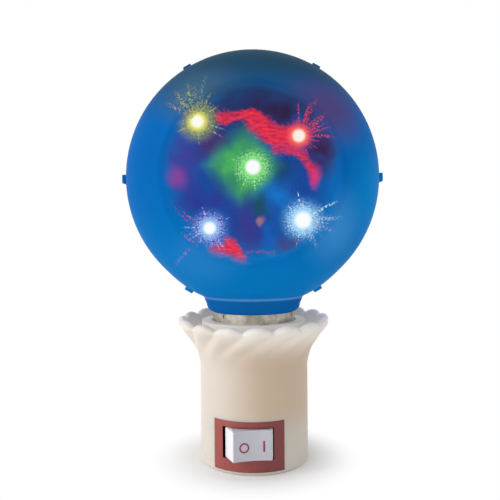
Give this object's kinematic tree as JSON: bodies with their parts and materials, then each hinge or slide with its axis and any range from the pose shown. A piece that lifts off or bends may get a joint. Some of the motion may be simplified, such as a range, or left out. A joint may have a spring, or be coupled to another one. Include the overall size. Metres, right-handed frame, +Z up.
{
  "type": "disco ball light",
  "caption": "Plug-in party lamp: cream petal-collared bayonet lamp holder with rocker switch and plug pins, holding a translucent blue ball bulb with coloured LEDs behind a starburst film.",
  "frame": {"origin": "middle of the lamp holder's foot, on the flat bottom face", "axes": "+Z up along the holder's and bulb's axis, the switch faces -Y, the plug pins point along +Y, +X to the right seen from the front"},
  "size_m": [0.0733, 0.0706, 0.1131],
  "materials": {
    "cream_plastic": "satin milky translucent moulding",
    "socket_plastic": "matt tan heat-proof moulding",
    "brick_plastic": "satin red-brown moulding",
    "white_plastic": "glossy white moulding",
    "dark_plastic": "matt black moulding",
    "brass": "plain brass",
    "steel": "bright steel",
    "nickel": "nickel-plated brass",
    "cap_metal": "dull spun metal",
    "blue_shell": "translucent blue satin moulding",
    "board": "dark lacquered circuit board",
    "film": "clear diffraction film",
    "brown_wire": "brown insulation",
    "blue_wire": "blue insulation",
    "red_wire": "red insulation",
    "yellow_lens": "lit yellow lens",
    "red_lens": "lit red lens",
    "green_lens": "lit green lens",
    "blue_lens": "lit blue-white lens",
    "capacitor_film": "dipped film capacitor",
    "capacitor_sleeve": "blue shrink sleeve",
    "resistor_body": "lacquered ceramic"
  },
  "bodies": {
    "holder": {"casing": "cream_plastic", "bottom_cover": "cream_plastic", "cover_screws": "steel", "socket_barrel": "socket_plastic", "contact_sleeves": "brass", "plunger_springs": "steel", "plug_block": "cream_plastic", "plug_pin_left": "nickel", "plug_pin_right": "nickel", "switch_plate": "brick_plastic", "switch_housing": "dark_plastic", "supply_terminal": "brass", "load_terminal": "brass", "supply_wire": "brown_wire", "switched_wire": "brown_wire", "return_wire": "blue_wire"},
    "plungers": {"contact_plungers": "brass"},
    "rocker": {"rocker": "white_plastic", "rocker_plunger": "brass", "rocker_spring": "steel"},
    "bridge": {"contact_bridge": "brass"},
    "bulb": {"globe_front": "blue_shell", "globe_rear": "blue_shell", "lamp_cap": "cap_metal", "bayonet_pins": "cap_metal", "cap_insulator": "dark_plastic", "cap_contacts": "steel", "cap_leads": "red_wire", "led_board": "board", "led_yellow": "yellow_lens", "led_red": "red_lens", "led_green": "green_lens", "led_blue_left": "blue_lens", "led_blue_right": "blue_lens", "film_posts": "white_plastic", "starburst_film": "film", "dropper_capacitor": "capacitor_film", "bridge_rectifier": "dark_plastic", "smoothing_capacitor": "capacitor_sleeve", "fusible_resistor": "resistor_body", "flasher_chip": "dark_plastic", "led_resistors": "resistor_body"}
  },
  "joints": [
    {"name": "rocker_tilt", "type": "hinge", "parent": "holder", "child": "rocker", "pos_m": [0, -0.0112, 0.0082], "axis": [0, 0, 1], "range_deg": [-32, 0]},
    {"name": "bridge_tilt", "type": "hinge", "parent": "holder", "child": "bridge", "pos_m": [0, -0.00495, 0.0082], "axis": [0, 0, 1], "range_deg": [0, 16]},
    {"name": "bulb_push", "type": "slide", "parent": "holder", "child": "plungers", "axis": [0, 0, 1], "range_m": [-0.002, 0], "stiffness_N_per_m": 2000, "springref_m": 0.004, "deforming": ["plunger_springs"]},
    {"name": "bulb_twist", "type": "hinge", "parent": "plungers", "child": "bulb", "pos_m": [0, 0, 0.02], "axis": [0, 0, 1], "range_deg": [0, 20]}
  ],
  "couplings": [
    {"joint": "bridge_tilt", "follows": "rocker_tilt", "ratio": -0.5}
  ]
}
